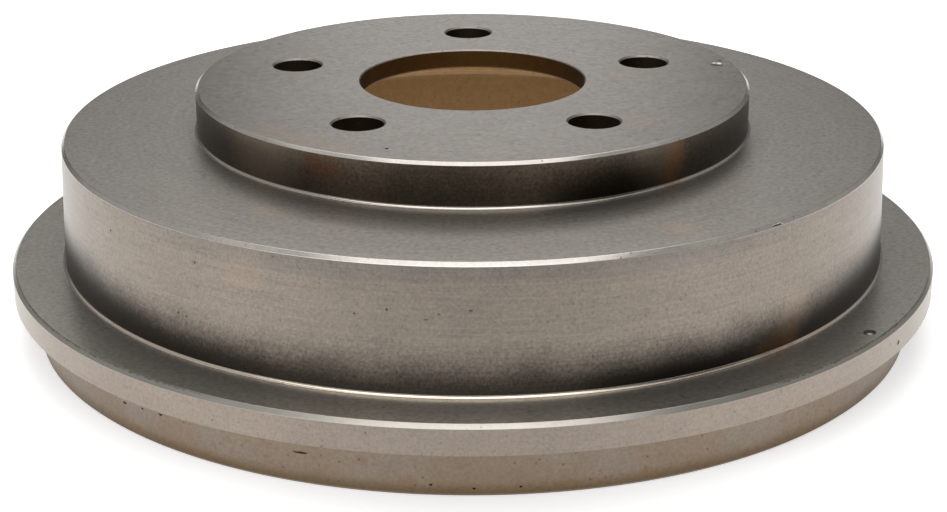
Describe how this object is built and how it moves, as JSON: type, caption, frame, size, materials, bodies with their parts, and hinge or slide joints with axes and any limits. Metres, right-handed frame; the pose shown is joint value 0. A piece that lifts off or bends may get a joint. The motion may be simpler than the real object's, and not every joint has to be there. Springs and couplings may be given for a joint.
{
  "type": "brake drum",
  "caption": "Cast iron brake drum: a raised hub with stud holes on a closed end, a turned flange and a cast rim.",
  "frame": {"origin": "centre of the open end, on the spin axis, level with the rim that it stands on", "axes": "+Z along the spin axis towards the wheel side, +Y through one of the stud holes"},
  "size_m": [0.2834, 0.2834, 0.0734],
  "materials": {
    "cast_iron": "grey iron, turned faces with fine tool lines and light oil, as-cast rim"
  },
  "bodies": {
    "root": {"brake_drum": "cast_iron"}
  },
  "joints": []
}
